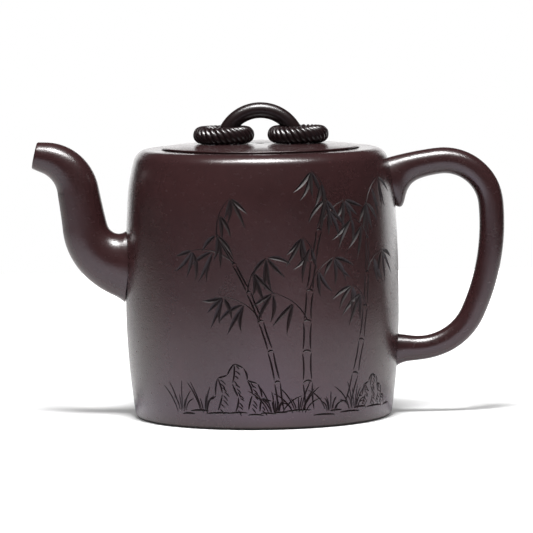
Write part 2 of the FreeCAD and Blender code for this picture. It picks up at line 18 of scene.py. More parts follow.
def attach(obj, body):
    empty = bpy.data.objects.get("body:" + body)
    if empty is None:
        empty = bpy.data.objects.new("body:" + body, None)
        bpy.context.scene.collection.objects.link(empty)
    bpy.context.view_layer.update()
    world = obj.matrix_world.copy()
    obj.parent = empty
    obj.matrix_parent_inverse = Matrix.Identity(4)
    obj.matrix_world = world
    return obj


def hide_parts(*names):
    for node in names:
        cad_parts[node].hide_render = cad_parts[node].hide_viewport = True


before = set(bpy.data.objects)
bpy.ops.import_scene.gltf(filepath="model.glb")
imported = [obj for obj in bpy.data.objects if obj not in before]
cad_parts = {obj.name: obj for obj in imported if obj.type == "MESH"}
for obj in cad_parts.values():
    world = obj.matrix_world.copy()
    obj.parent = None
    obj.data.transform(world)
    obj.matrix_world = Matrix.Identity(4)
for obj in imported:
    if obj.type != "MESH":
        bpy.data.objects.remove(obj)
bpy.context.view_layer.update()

LOG = logging.getLogger("teapot")

Colour = tuple[float, float, float]
Point = tuple[float, float]
Corner = tuple[float, float, float]

METRES = 0.001

# Facets round the pot's axis, and the gap in millimetres under which points are one.
FACETS = 240
WELD = 0.002


# Finishes


class Handling(Enum):
    """How a clay surface was worked before firing; the cut and polished finishes are also set darker as painted shade.
    """

    BURNISHED = "burnished_clay"
    # Glossy clay for the bridge and rings, set darker as painted shade under the knob.
    POLISHED = "polished_clay_painted_shade"
    RAW = "raw_clay"
    # Darker than the clay itself: painted shade in the carved grooves and under the foot.
    CUT = "cut_clay_painted_shade"


class Wiring:
    """One material's nodes, added and linked in short calls."""

    def __init__(self, name: str) -> None:
        """Start a material that holds only its output and shader."""
        self.material = bpy.data.materials.new(name)
        self.material.use_nodes = True
        self.tree = self.material.node_tree
        self.shader = self.tree.nodes["Principled BSDF"]

    def add(self, kind: str, **values: object) -> bpy.types.Node:
        """Add a node.

        Args:
            kind: Blender's name for the node, without ShaderNode.
            values: Sockets by name, with spaces as underscores: a link from another node's socket,
                or a value.

        Returns:
            The new node.
        """
        node = self.tree.nodes.new("ShaderNode" + kind)
        for name, value in values.items():
            self.feed(node.inputs[name.replace("_", " ")], value)
        return node

    def feed(self, socket: bpy.types.NodeSocket, value: object) -> None:
        """Give a socket a link or a plain value."""
        if isinstance(value, bpy.types.NodeSocket):
            self.tree.links.new(value, socket)
        else:
            socket.default_value = value

    def mix(self, share: object, first: object, second: object) -> bpy.types.NodeSocket:
        """Blend two colours.

        Args:
            share: How much of the second colour, from 0 to 1.
            first: Colour at share 0.
            second: Colour at share 1.

        Returns:
            The blended colour's socket.
        """
        node = self.tree.nodes.new("ShaderNodeMix")
        node.data_type = "RGBA"
        self.feed(node.inputs[0], share)
        self.feed(node.inputs[6], first)
        self.feed(node.inputs[7], second)
        return node.outputs[2]

    def reckon(self, operation: str, first: object, second: object) -> bpy.types.NodeSocket:
        """Work out one number from two.

        Args:
            operation: Blender's name for the sum.
            first: Its first number.
            second: Its second number.

        Returns:
            The result's socket.
        """
        node = self.tree.nodes.new("ShaderNodeMath")
        node.operation = operation
        self.feed(node.inputs[0], first)
        self.feed(node.inputs[1], second)
        return node.outputs[0]

    def measure(self, vector: bpy.types.NodeSocket) -> bpy.types.NodeSocket:
        """Length of a vector.

        Args:
            vector: The vector's socket.

        Returns:
            The length's socket.
        """
        node = self.tree.nodes.new("ShaderNodeVectorMath")
        node.operation = "LENGTH"
        self.feed(node.inputs[0], vector)
        return node.outputs["Value"]

    def span(self, value: object, source: Point, target: Point) -> bpy.types.NodeSocket:
        """Map one range of numbers onto another, held within its ends.

        Args:
            value: The number to map.
            source: Its lower and upper end.
            target: What those ends become.

        Returns:
            The mapped number's socket.
        """
        node = self.add("MapRange", Value=value, From_Min=source[0], From_Max=source[1])
        self.feed(node.inputs["To Min"], target[0])
        self.feed(node.inputs["To Max"], target[1])
        return node.outputs["Result"]


@dataclass(frozen=True)
class ClayFinish:
    """Fired purple clay, with its clouding, sand grain and the marks of the burnishing tool."""

    handling: Handling
    dark: Colour
    light: Colour
    roughness: float
    grain_height: float
    specular: float = 0.5
    cloud_scale: float = 24.0
    streak_scale: Colour = (380.0, 380.0, 520.0)
    grain_scale: float = 1500.0
    sand_scale: float = 620.0
    sand_share: float = 0.10
    wave_scale: float = 70.0
    wave_height: float = 0.10
    streak_tone: float = 0.1
    streak_gloss: float = 0.02
    # How far handling lightens and polishes the edges that stand out.
    wear_start: Point = (0.53, 0.62)
    wear_tone: float = 0.5
    wear_gloss: float = 0.08

    def material(self) -> bpy.types.Material:
        """Build the finish's material, on object coordinates so that it runs on from piece to piece.

        Returns:
            The new material.
        """
        wires = Wiring(self.handling.value)
        place = wires.add("TexCoord").outputs["Object"]
        cloud = wires.add("TexNoise", Vector=place, Scale=self.cloud_scale, Detail=4.0).outputs["Fac"]
        stretched = wires.add("Mapping", Vector=place, Scale=self.streak_scale).outputs["Vector"]
        streak = wires.add("TexNoise", Vector=stretched, Scale=1.0, Detail=3.0).outputs["Fac"]
        grain = wires.add("TexNoise", Vector=place, Scale=self.grain_scale, Detail=2.0).outputs["Fac"]
        sand = wires.add("TexVoronoi", Vector=place, Scale=self.sand_scale)
        wave = wires.add("TexNoise", Vector=place, Scale=self.wave_scale, Detail=1.0).outputs["Fac"]

        base = wires.mix(wires.span(cloud, (0.3, 0.7), (0.0, 1.0)), (*self.dark, 1), (*self.light, 1))
        base = wires.mix(wires.span(streak, (0.45, 0.75), (0.0, self.streak_tone)), base, (*self.dark, 1))
        base = wires.mix(wires.span(grain, (0.5, 0.72), (0.0, 0.3)), base, (*self.light, 1))
        speck = wires.span(sand.outputs["Distance"], (0.10, 0.22), (1.0, 0.0))
        chosen = wires.span(sand.outputs["Color"], (1 - self.sand_share, 1 - self.sand_share + 0.02), (0.0, 0.32))
        fleck = wires.reckon("MULTIPLY", speck, chosen)
        pale = tuple(min(1.0, channel * 3) for channel in self.light)
        base = wires.mix(fleck, base, (*pale, 1))
        proud = wires.add("NewGeometry").outputs["Pointiness"]
        worn = wires.mix(wires.span(proud, self.wear_start, (0.0, self.wear_tone)), base, (*self.light, 1))

        even, spread = self.roughness, self.streak_gloss
        uneven = wires.span(streak, (0.3, 0.7), (even - spread, even + spread))
        rubbed = wires.reckon("SUBTRACT", uneven, wires.span(proud, self.wear_start, (0.0, self.wear_gloss)))
        wires.feed(wires.shader.inputs["Base Color"], worn)
        wires.feed(wires.shader.inputs["Roughness"], rubbed)
        wires.shader.inputs["Specular IOR Level"].default_value = self.specular
        broad = wires.add("Bump", Height=wave, Strength=1.0, Distance=self.wave_height * METRES)
        fine = wires.add("Bump", Height=grain, Strength=1.0, Distance=self.grain_height * METRES)
        wires.feed(fine.inputs["Normal"], broad.outputs["Normal"])
        wires.feed(wires.shader.inputs["Normal"], fine.outputs["Normal"])
        return wires.material


class ClayShelf:
    """The pot's finishes, each made once and handed out by name."""

    finishes = (
        ClayFinish(Handling.BURNISHED, (0.021, 0.0075, 0.0080), (0.036, 0.0140, 0.0148), 0.26, 0.04),
        # Polished clay: finer grain, and darker colours than the burnished clay as painted shade for the knob's shaded
        # undersides.
        ClayFinish(Handling.POLISHED, (0.0075, 0.0029, 0.0032), (0.013, 0.0054, 0.0058), 0.29, 0.012),
        ClayFinish(Handling.RAW, (0.030, 0.013, 0.012), (0.055, 0.026, 0.024), 0.62, 0.06),
        # Cut clay: rough like a fresh cut, and far darker than the clay as painted shade for the grooves and the foot.
        ClayFinish(Handling.CUT, (0.006, 0.0028, 0.0032), (0.014, 0.0065, 0.0070), 0.5, 0.04, specular=0.3),
    )

    def __init__(self) -> None:
        """Build every finish's material."""
        self.materials = {finish.handling: finish.material() for finish in self.finishes}

    def dress(self, piece: bpy.types.Object, handling: Handling) -> None:
        """Put one finish on the whole of a piece."""
        piece.data.materials.clear()
        piece.data.materials.append(self.materials[handling])

    def dress_below(self, piece: bpy.types.Object, handling: Handling, height: float) -> None:
        """Put a second finish on those faces of a dressed piece that lie below a height in millimetres.

        Args:
            piece: The dressed piece.
            handling: The second finish.
            height: Where it ends.
        """
        piece.data.materials.append(self.materials[handling])
        for face in piece.data.polygons:
            face.material_index = int(face.center.z < height)


# Modelling moves


def clear_selection() -> None:
    """Leave edit mode with nothing selected, so that an operator touches only what comes next."""
    if bpy.context.object and bpy.context.object.mode != "OBJECT":
        bpy.ops.object.mode_set(mode="OBJECT")
    bpy.ops.object.select_all(action="DESELECT")


def take(piece: bpy.types.Object) -> None:
    """Select one piece alone and make it the active one."""
    clear_selection()
    piece.select_set(True)
    bpy.context.view_layer.objects.active = piece


def edit_all(piece: bpy.types.Object) -> None:
    """Open a piece in edit mode with the whole of it selected."""
    take(piece)
    bpy.ops.object.mode_set(mode="EDIT")
    bpy.ops.mesh.select_all(action="SELECT")


def new_piece(name: str) -> bpy.types.Object:
    """Name the primitive that was just added and open it in edit mode, all selected."""
    piece = bpy.context.object
    piece.name = name
    piece.data.name = name
    edit_all(piece)
    return piece


def apply_modifier(piece: bpy.types.Object, kind: str, **settings: object) -> None:
    """Add a modifier to a piece and apply it.

    Args:
        piece: The piece to change.
        kind: Blender's name for the modifier.
        settings: The modifier's own settings.
    """
    modifier = piece.modifiers.new(kind.title(), kind)
    for name, value in settings.items():
        setattr(modifier, name, value)
    take(piece)
    bpy.ops.object.modifier_apply(modifier=modifier.name)


def weld(piece: bpy.types.Object) -> None:
    """Merge the points of a piece that lie together, and turn its faces outwards."""
    edit_all(piece)
    bpy.ops.mesh.remove_doubles(threshold=WELD)
    bpy.ops.mesh.normals_make_consistent(inside=False)
    bpy.ops.object.mode_set(mode="OBJECT")


def arc(centre: Point, radius: float, start: float, end: float, steps: int) -> list[Point]:
    """Points along an arc.

    Args:
        centre: The arc's middle, as radius and height.
        radius: The arc's own radius.
        start: First angle in radians, from the outward direction towards up.
        end: Last angle.
        steps: Number of chords.

    Returns:
        The points, both ends among them.
    """
    angles = [start + (end - start) * step / steps for step in range(steps + 1)]
    return [(centre[0] + radius * math.cos(a), centre[1] + radius * math.sin(a)) for a in angles]


def soften(corners: list[Corner], steps: int = 5) -> list[Point]:
    """Round the corners of a closed outline.

    Args:
        corners: Radius, height and rounding of each corner, in order.
        steps: Number of chords on each rounding.

    Returns:
        The outline's points.
    """
    points: list[Point] = []
    for index, (radius, height, rounding) in enumerate(corners):
        corner = Vector((radius, height))
        if not rounding:
            points.append(corner.to_tuple())
            continue
        back = (Vector(corners[index - 1][:2]) - corner).normalized()
        ahead = (Vector(corners[(index + 1) % len(corners)][:2]) - corner).normalized()
        half = back.angle(ahead) / 2
        centre = corner + (back + ahead).normalized() * rounding / math.sin(half)
        first = corner + back * rounding / math.tan(half) - centre
        sweep = first.angle_signed(corner + ahead * rounding / math.tan(half) - centre)
        start = math.atan2(first.y, first.x)
        points += arc(centre.to_tuple(), rounding, start, start - sweep, steps)
    return points


def throw(name: str, outline: list[Point]) -> bpy.types.Object:
    """Turn an outline about the pot's axis, as on a wheel.

    Args:
        name: Name of the new piece.
        outline: Points in order, as radius and height. The last joins the first, unless both lie
            on the axis.

    Returns:
        The turned piece.
    """
    clear_selection()
    bpy.ops.mesh.primitive_plane_add(size=1, location=(0, 0, 0))
    piece = new_piece(name)
    bpy.ops.mesh.merge(type="CENTER")
    bpy.ops.transform.translate(value=(outline[0][0], 0, outline[0][1]))
    closing = outline[:1] if outline[0][0] > 0 else []
    for here, there in zip(outline, outline[1:] + closing):
        step = (there[0] - here[0], 0, there[1] - here[1])
        bpy.ops.mesh.extrude_vertices_move(TRANSFORM_OT_translate={"value": step})
    bpy.ops.mesh.select_all(action="SELECT")
    bpy.ops.mesh.spin(steps=FACETS, angle=math.tau, center=(0, 0, 0), axis=(0, 0, 1))
    weld(piece)
    return piece


@dataclass(frozen=True)
class Ring:
    """One oval across a coil of clay, before the coil is bent."""

    along: float
    wide: float
    tall: float
    lift: float = 0.0


def roll(name: str, rings: list[Ring], sides: int) -> bpy.types.Object:
    """Roll a straight coil up the Z axis through a row of ovals, open at both ends.

    Args:
        name: Name of the new piece.
        rings: The ovals in order.
        sides: Number of sides of each oval.

    Returns:
        The coil.
    """
    clear_selection()
    bpy.ops.mesh.primitive_circle_add(vertices=sides, radius=1, location=(0, 0, 0))
    piece = new_piece(name)
    first = rings[0]
    bpy.ops.transform.resize(value=(first.wide, first.tall, 1), center_override=(0, 0, 0))
    bpy.ops.transform.translate(value=(0, first.lift, first.along))
    for last, ring in zip(rings, rings[1:]):
        step = (0, ring.lift - last.lift, ring.along - last.along)
        bpy.ops.mesh.extrude_region_move(TRANSFORM_OT_translate={"value": step})
        ratio = (ring.wide / last.wide, ring.tall / last.tall, 1)
        bpy.ops.transform.resize(value=ratio, center_override=(0, ring.lift, ring.along))
    bpy.ops.object.mode_set(mode="OBJECT")
    return piece


@dataclass
class Spine:
    """Path of straight runs and arcs in the X-Z plane, along which a coil is bent.

    Each run is its length and its turn in radians, anticlockwise seen with X to the right and Z up.
    """

    start: Point
    heading: float
    runs: list[Point]
    samples: int = 260

    @property
    def length(self) -> float:
        """Length of all the runs."""
        return sum(length for length, _ in self.runs)

    def point(self, distance: float) -> Point:
        """Place on the path.

        Args:
            distance: How far along the path, from 0 to its length.

        Returns:
            X and Z.
        """
        x, z = self.start
        heading, left = self.heading, distance
        for length, turn in self.runs:
            step = min(left, length)
            half = turn * step / length / 2
            chord = step * math.sin(half) / half if half else step
            x += chord * math.cos(heading + half)
            z += chord * math.sin(heading + half)
            heading += 2 * half
            left -= step
        return x, z

    def bend(self, piece: bpy.types.Object) -> None:
        """Bend a straight coil along the path."""
        line = bpy.data.curves.new("spine", "CURVE")
        line.dimensions = "3D"
        spline = line.splines.new("POLY")
        spline.points.add(self.samples)
        for index, knot in enumerate(spline.points):
            x, z = self.point(self.length * index / self.samples)
            knot.co = (x, 0, z, 1)
        path = bpy.data.objects.new("spine", line)
        bpy.context.collection.objects.link(path)
        apply_modifier(piece, "CURVE", object=path, deform_axis="POS_Z")
        bpy.data.objects.remove(path)


def elbow(radius: float, turn: float) -> Point:
    """Run of a spine that turns with a radius; the turn is in radians."""
    return radius * abs(turn), turn


def settle(piece: bpy.types.Object, crease: float) -> None:
    """Shade a finished piece smooth up to a crease angle in degrees, and bring it to metres."""
    take(piece)
    bpy.ops.object.shade_smooth_by_angle(angle=math.radians(crease))
    piece.data.transform(Matrix.Scale(METRES, 4))
    piece.data.update()


@dataclass
class SubAssembly:
    """Pieces that ride together on one body of the frame."""

    shelf: ClayShelf
    body: str = "pot"

    def keep(self, piece: bpy.types.Object, handling: Handling, *nodes: str, crease: float = 30) -> None:
        """Dress a modelled piece and put it in the place of the frame's own nodes.

        Args:
            piece: The modelled piece, in millimetres.
            handling: Its finish.
            nodes: The nodes that it stands for.
            crease: Angle in degrees from which an edge stays sharp.
        """
        if not piece.data.materials:
            self.shelf.dress(piece, handling)
        settle(piece, crease)
        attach(piece, self.body)
        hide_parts(*nodes)
        LOG.info("%s: %d faces, for %s", piece.name, len(piece.data.polygons), ", ".join(nodes))


# Pot


@dataclass
class PotBody(SubAssembly):
    """Wall, base and top slab of the pot, with the ledge that carries the lid."""

    height: float = 89.5
    belly_radius: float = 45.65
    belly_height: float = 38.0
    lower_arc: float = 250.0
    upper_arc: float = 640.0
    shoulder_start: float = 72.0
    shoulder_arc: float = 62.0
    slab: float = 3.4
    wall: float = 3.0
    base: float = 3.2
    foot_round: float = 1.6
    # Below this height the foot takes the dark cut finish: painted shade where it meets the floor.
    foot_shade_edge: float = 1.0
    recess_radius: float = 34.0
    recess: float = 0.7
    mouth: float = 33.0
    mouth_round: float = 0.35
    ledge: Point = (27.5, 37.0)
    ledge_depth: float = 3.0
    opening: float = 6.2
    opening_height: float = 50.5
    wall_rows: int = 46
    # Short first and last rows keep the shading even across the joins with base and slab.
    joint_row: float = 0.04

    @property
    def seam(self) -> float:
        """Height at which the top slab lies on the wall."""
        return self.height - self.slab

    @property
    def shoulder_centre(self) -> Point:
        """Middle of the arc that turns the wall in towards the shoulder."""
        rise = self.shoulder_start - self.belly_height
        reach = self.upper_arc - self.shoulder_arc
        lean = math.asin(rise / self.upper_arc)
        across = self.belly_radius - self.upper_arc + reach * math.cos(lean)
        return across, self.belly_height + reach * math.sin(lean)

    def radius_at(self, height: float) -> float:
        """Outer radius of the wall at a height, up to the seam."""
        if height > self.shoulder_start:
            across, middle = self.shoulder_centre
            return across + math.sqrt(self.shoulder_arc**2 - (height - middle) ** 2)
        bow = self.lower_arc if height < self.belly_height else self.upper_arc
        return self.belly_radius - bow + math.sqrt(bow**2 - (height - self.belly_height) ** 2)

    def build(self) -> None:
        """Model and dress the body's pieces."""
        self.build_wall()
        self.build_base()
        self.build_slab()
        self.build_ledge()

    def build_wall(self) -> None:
        """Turn the wall, open it behind the spout and cut the carving into its front."""
        low, high = self.base, self.seam
        rows = [low + (high - low) * step / self.wall_rows for step in range(self.wall_rows + 1)]
        heights = [low, low + self.joint_row, *rows[1:-1], high - self.joint_row, high]
        outside = [(self.radius_at(z), z) for z in heights]
        inside = [(self.radius_at(z) - self.wall, z) for z in reversed(rows[:: self.wall_rows // 12])]
        wall = throw("pot_wall", outside + inside)
        self.shelf.dress(wall, Handling.BURNISHED)
        self.cut_opening(wall)
        Carving(self).cut_into(wall)
        self.keep(wall, Handling.BURNISHED, "body_wall", crease=14)

    def cut_opening(self, wall: bpy.types.Object) -> None:
        """Cut the round opening behind the spout through the wall."""
        clear_selection()
        middle = (-self.belly_radius, 0, self.opening_height)
        size = {"radius": self.opening, "depth": 4 * self.wall}
        bpy.ops.mesh.primitive_cylinder_add(
            vertices=64, location=middle, rotation=(0, math.pi / 2, 0), **size
        )
        drill = bpy.context.object
        self.shelf.dress(drill, Handling.RAW)
        apply_modifier(wall, "BOOLEAN", object=drill, operation="DIFFERENCE", solver="EXACT", material_mode="TRANSFER")
        bpy.data.objects.remove(drill)

    def build_base(self) -> None:
        """Turn the bottom slab, rounded at the foot and hollowed a little underneath."""
        bow, small = self.lower_arc, self.foot_round
        middle = (self.belly_radius - bow, self.belly_height)
        drop = math.asin((small - self.belly_height) / (bow - small))
        brim = math.asin((self.base - self.belly_height) / bow)
        tiny = self.joint_row / bow
        foot = (middle[0] + (bow - small) * math.cos(drop), small)
        edge = arc(middle, bow, brim, brim - tiny, 1) + arc(middle, bow, brim - tiny, drop, 4)[1:]
        outline = [(0.0, self.base), *edge]
        outline += arc(foot, small, drop, -math.pi / 2, 10)[1:]
        step = self.recess / 2
        hollow = [(self.recess_radius + step, 0, step), (self.recess_radius, self.recess, step)]
        outline += soften([(outline[-1][0], 0, 0), *hollow, (0, self.recess, 0)])[1:]
        base = throw("pot_base", outline)
        self.shelf.dress(base, Handling.BURNISHED)
        # The foot's lowest rounding takes the dark cut finish, painted contact shade.
        self.shelf.dress_below(base, Handling.CUT, self.foot_shade_edge)
        self.keep(base, Handling.BURNISHED, "base_disc", crease=40)

    def build_slab(self) -> None:
        """Turn the flat top slab, its edge rolled down onto the wall."""
        across, middle = self.shoulder_centre
        lean = math.asin((self.seam - middle) / self.shoulder_arc)
        rim = self.radius_at(self.seam)
        corner = self.slab / (1 - math.sin(lean))
        centre = (rim - corner * math.cos(lean), self.height - corner)
        tiny = self.joint_row / corner
        edge = arc(centre, corner, lean, lean + tiny, 1) + arc(centre, corner, lean + tiny, math.pi / 2, 22)[1:]
        mouth = [(edge[-1][0], self.height, 0), (self.mouth, self.height, self.mouth_round), (self.mouth, self.seam, 0)]
        outline = edge + soften([*mouth, (rim, self.seam, 0)])[1:-1]
        slab = throw("pot_top_slab", outline)
        self.keep(slab, Handling.BURNISHED, "shoulder_plate", crease=40)

    def build_ledge(self) -> None:
        """Turn the ring under the slab whose inner part carries the lid."""
        (inner, outer), low, soft = self.ledge, self.seam - self.ledge_depth, 0.6
        corners = [(inner, self.seam, 0.3), (inner, low, soft), (outer, low, soft), (outer, self.seam, 0)]
        ledge = throw("lid_ledge", soften(corners))
        self.keep(ledge, Handling.RAW, "lid_seat_ring", crease=40)


class Knife(Enum):
    """The two blades of the carving, each by its groove's half width for a depth of 1."""

    FINE = 0.8
    BROAD = 1.15


@dataclass
class Stroke:
    """One knife stroke on the unrolled wall: across is to the viewer's right, up is height."""

    path: list[Point]
    depth: float
    knife: Knife
    swell: Callable[[float], float]


@dataclass
class Carving:
    """Bamboo, rocks and grasses cut into the wall's front."""

    pot: PotBody
    line_depth: float = 0.40
    leaf_depth: float = 0.62
    # Leaves start this far from the point that they hang from, so that no two cuts share a corner.
    leaf_gap: float = 0.3
    # Height above the wall at which the knife's path runs, so that a stroke fades out at its ends.
    run_out: float = 0.25
    points: int = 13
    seed: int = 23
    strokes: list[Stroke] = field(default_factory=list)

    def cut_into(self, wall: bpy.types.Object) -> None:
        """Draw the design and cut its strokes into the wall."""
        self.chance = random.Random(self.seed)
        self.draw()
        for knife in Knife:
            cutter = self.cutter(knife)
            # The cut faces take the cut finish, painted shade deep in the grooves.
            self.pot.shelf.dress(cutter, Handling.CUT)
            apply_modifier(
                wall,
                "BOOLEAN",
                object=cutter,
                operation="DIFFERENCE",
                solver="EXACT",
                use_self=True,
                material_mode="TRANSFER",
            )
            bpy.data.objects.remove(cutter)

    def draw(self) -> None:
        """Lay out stalks, rock, grasses and ground on the unrolled wall."""
        self.stalk((16.0, 6.0), (22.5, 75.0), 4.0, 3.4, 7)
        self.stalk((31.0, 7.0), (40.0, 73.0), -2.5, 2.8, 6)
        self.stalk((6.0, 6.0), (-15.0, 64.0), -4.0, 2.0, 6)
        self.rock((-20.0, 5.0), 24.0, 17.0)
        self.rock((35.0, 5.5), 17.0, 11.0)
        for across in (-30.0, -21.0, 4.0, 12.0, 24.0, 34.0):
            self.tuft((across, 5.5))
        self.ground()

    def line(self, start: Point, end: Point, bow: float, depth: float) -> None:
        """Cut a fine line from one point to another, bowed to its left."""
        self.strokes.append(
            Stroke(self.bowed(start, end, bow, self.points), depth, Knife.FINE, lambda t: math.sin(math.pi * t) ** 0.35)
        )

    def leaf(self, root: Point, heading: float, length: float) -> None:
        """Cut a leaf with one broad stroke from near its root, widest near a third of its length."""
        start = (root[0] + self.leaf_gap * math.cos(heading), root[1] + self.leaf_gap * math.sin(heading))
        end = (start[0] + length * math.cos(heading), start[1] + length * math.sin(heading))
        bow = self.chance.uniform(-0.12, 0.12) * length
        self.strokes.append(
            Stroke(
                self.bowed(start, end, bow, self.points),
                self.leaf_depth,
                Knife.BROAD,
                lambda t: math.sin(math.pi * t**0.7),
            )
        )

    def bowed(self, start: Point, end: Point, bow: float, count: int) -> list[Point]:
        """Points of a shallow bow.

        Args:
            start: First point.
            end: Last point.
            bow: How far the middle stands to the left of the straight line.
            count: Number of points.

        Returns:
            The points.
        """
        first, last = Vector(start), Vector(end)
        side = Vector((first.y - last.y, last.x - first.x)).normalized()
        shares = [step / (count - 1) for step in range(count)]
        return [(first.lerp(last, t) + side * bow * 4 * t * (1 - t)).to_tuple() for t in shares]

    def stalk(self, foot: Point, top: Point, bow: float, width: float, joints: int) -> None:
        """Cut a bowed stalk of several lengths, with twigs at its joints.

        Args:
            foot: Where it leaves the ground.
            top: Where it ends.
            bow: How far its middle stands to the left of the straight line.
            width: Its width at the foot.
            joints: Number of lengths.
        """
        rings = self.bowed(foot, top, bow, joints + 1)
        for number, (low, high) in enumerate(zip(rings, rings[1:])):
            start, end = Vector(low), Vector(low).lerp(Vector(high), 0.94)
            along = (end - start).normalized()
            half = Vector((along.y, -along.x)) * width / 2 * (1 - 0.6 * number / joints)
            waist = 0.1 * width
            self.line((start + half).to_tuple(), (end + half).to_tuple(), waist, self.line_depth)
            self.line((start - half).to_tuple(), (end - half).to_tuple(), -waist, self.line_depth)
            self.line((end - half).to_tuple(), (end + half).to_tuple(), 0.2 * width, self.line_depth)
            if number > 1:
                hand = 1 if number % 2 else -1
                heading = math.atan2(along.y, along.x) - hand * self.chance.uniform(0.6, 0.95)
                self.twig(high, heading, self.chance.uniform(8.0, 15.0))
        self.spray(top, math.pi / 2, 4)

    def twig(self, root: Point, heading: float, length: float) -> None:
        """Cut a twig with leaves hanging from its end and from half way."""
        end = (root[0] + length * math.cos(heading), root[1] + length * math.sin(heading))
        droop = self.bowed(root, end, math.copysign(0.12 * length, math.cos(heading)), self.points)
        self.strokes.append(Stroke(droop, 0.75 * self.line_depth, Knife.FINE, lambda t: 1 - 0.5 * t))
        self.spray(end, heading, self.chance.choice((3, 4, 5)))
        self.spray(droop[self.points // 2], heading, self.chance.choice((2, 3)))

    def spray(self, root: Point, heading: float, leaves: int) -> None:
        """Cut leaves that hang from one point, the longest in the middle, leaning the way it grows."""
        lean = 0.55 * math.cos(heading)
        for number in range(leaves):
            aside = number - (leaves - 1) / 2
            turn = lean + 0.42 * aside + self.chance.uniform(-0.12, 0.12)
            length = self.chance.uniform(9.0, 13.0) * (1 - 0.12 * abs(aside))
            self.leaf(root, turn - math.pi / 2, length)

    def rock(self, foot: Point, width: float, height: float) -> None:
        """Cut a rock: its stepped outline, its cracks and short strokes on their shaded side.

        Args:
            foot: Its left end on the ground.
            width: Its width.
            height: Its height.
        """
        left = ((0.0, 0.0), (0.04, 0.3), (0.15, 0.37), (0.19, 0.72), (0.33, 0.78), (0.43, 1.0))
        right = ((0.56, 0.92), (0.61, 0.68), (0.75, 0.62), (0.81, 0.34), (0.95, 0.28), (1.0, 0.0))
        cracks = (
            ((0.19, 0.72), (0.25, 0.42), (0.17, 0.08)),
            ((0.43, 1.0), (0.40, 0.62), (0.48, 0.36), (0.43, 0.06)),
            ((0.61, 0.68), (0.68, 0.40), (0.62, 0.10)),
            ((0.81, 0.34), (0.78, 0.06)),
        )

        def place(share: Point) -> Vector:
            return Vector((foot[0] + width * share[0], foot[1] + height * share[1]))

        for outline in (left + right, *cracks):
            for here, there in zip(outline, outline[1:]):
                bow = self.chance.uniform(-0.3, 0.5)
                self.line(place(here).to_tuple(), place(there).to_tuple(), bow, self.line_depth)
        for crack in cracks:
            for here, there in zip(crack, crack[1:]):
                for share in (0.1, 0.35, 0.6, 0.85):
                    start = place(here).lerp(place(there), share) + Vector((self.chance.uniform(0.3, 0.9), 0))
                    end = start + Vector((self.chance.uniform(0.9, 2.0), -self.chance.uniform(0.8, 2.2)))
                    self.line(start.to_tuple(), end.to_tuple(), 0.15, 0.7 * self.line_depth)

    def tuft(self, root: Point) -> None:
        """Cut a tuft of grass, its blades of uneven length and bent outwards."""
        blades = self.chance.randint(6, 10)
        for number in range(blades):
            aside = number - (blades - 1) / 2
            heading = math.pi / 2 - 0.2 * aside + self.chance.uniform(-0.12, 0.12)
            length = self.chance.uniform(4.0, 12.0)
            foot = (root[0] + 0.5 * aside, root[1] + self.chance.uniform(-0.6, 0.6))
            end = (foot[0] + length * math.cos(heading), foot[1] + length * math.sin(heading))
            self.line(foot, end, 0.3 * aside, 0.8 * self.line_depth)

    def ground(self) -> None:
        """Cut broken lines of ground under the stalks."""
        across = -30.0
        while across < 55.0:
            length = self.chance.uniform(5.0, 11.0)
            height = 5.2 + self.chance.uniform(-0.8, 0.8)
            self.line((across, height), (across + length, height + self.chance.uniform(-0.5, 0.5)), 0.3, self.line_depth)
            across += length * self.chance.uniform(0.6, 1.1)

    def cutter(self, knife: Knife) -> bpy.types.Object:
        """Make one solid of all the strokes of a blade, wrapped round the wall.

        Args:
            knife: The blade.

        Returns:
            The cutting solid.
        """
        blade = bpy.data.curves.new("blade", "CURVE")
        blade.dimensions = "2D"
        edge = blade.splines.new("POLY")
        edge.points.add(2)
        edge.use_cyclic_u = True
        for knot, place in zip(edge.points, ((-knife.value, 0), (knife.value, 0), (0, -1))):
            knot.co = (*place, 0, 1)
        blade_piece = bpy.data.objects.new("blade", blade)
        bpy.context.collection.objects.link(blade_piece)

        cuts = bpy.data.curves.new("cuts", "CURVE")
        cuts.dimensions = "3D"
        cuts.twist_mode = "Z_UP"
        cuts.bevel_mode = "OBJECT"
        cuts.bevel_object = blade_piece
        cuts.use_fill_caps = True
        for stroke in (s for s in self.strokes if s.knife is knife):
            spline = cuts.splines.new("POLY")
            spline.points.add(len(stroke.path) - 1)
            for index, (knot, place) in enumerate(zip(spline.points, stroke.path)):
                share = stroke.swell(index / (len(stroke.path) - 1))
                knot.co = (*place, self.run_out, 1)
                knot.radius = self.run_out + stroke.depth * (1.15 * share - 0.15)
        cutter = bpy.data.objects.new("cuts", cuts)
        bpy.context.collection.objects.link(cutter)
        take(cutter)
        bpy.ops.object.convert(target="MESH")
        cutter = bpy.context.object
        bpy.data.objects.remove(blade_piece)
        for vertex in cutter.data.vertices:
            across, up, out = vertex.co
            radius = self.pot.radius_at(up) + out
            turn = across / self.pot.belly_radius
            vertex.co = (radius * math.sin(turn), -radius * math.cos(turn), up)
        weld(cutter)
        return cutter


# Spout and handle


